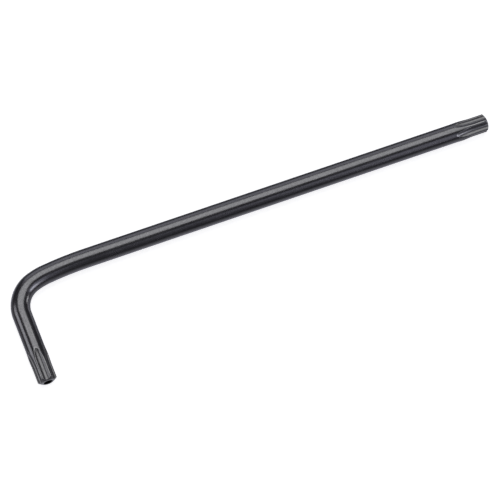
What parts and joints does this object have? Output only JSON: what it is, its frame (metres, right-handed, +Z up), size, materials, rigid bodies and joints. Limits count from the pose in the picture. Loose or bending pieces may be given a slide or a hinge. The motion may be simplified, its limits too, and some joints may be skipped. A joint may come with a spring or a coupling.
{
  "type": "star key",
  "caption": "L-shaped key for tamper-resistant star screws: a bent round bar of dark steel with a drilled six-lobe tip on each end.",
  "frame": {"origin": "centre of the key's footprint, on the surface that it lies on", "axes": "+X along the long arm, out of its tip; the short arm points along -Y; +Z up, square to both arms"},
  "size_m": [0.12, 0.0276, 0.0046],
  "materials": {
    "dark_steel": "satin black oxide on drawn steel bar, lighter where the star tips are formed"
  },
  "bodies": {
    "root": {"bent_star_bar": "dark_steel"}
  },
  "joints": []
}
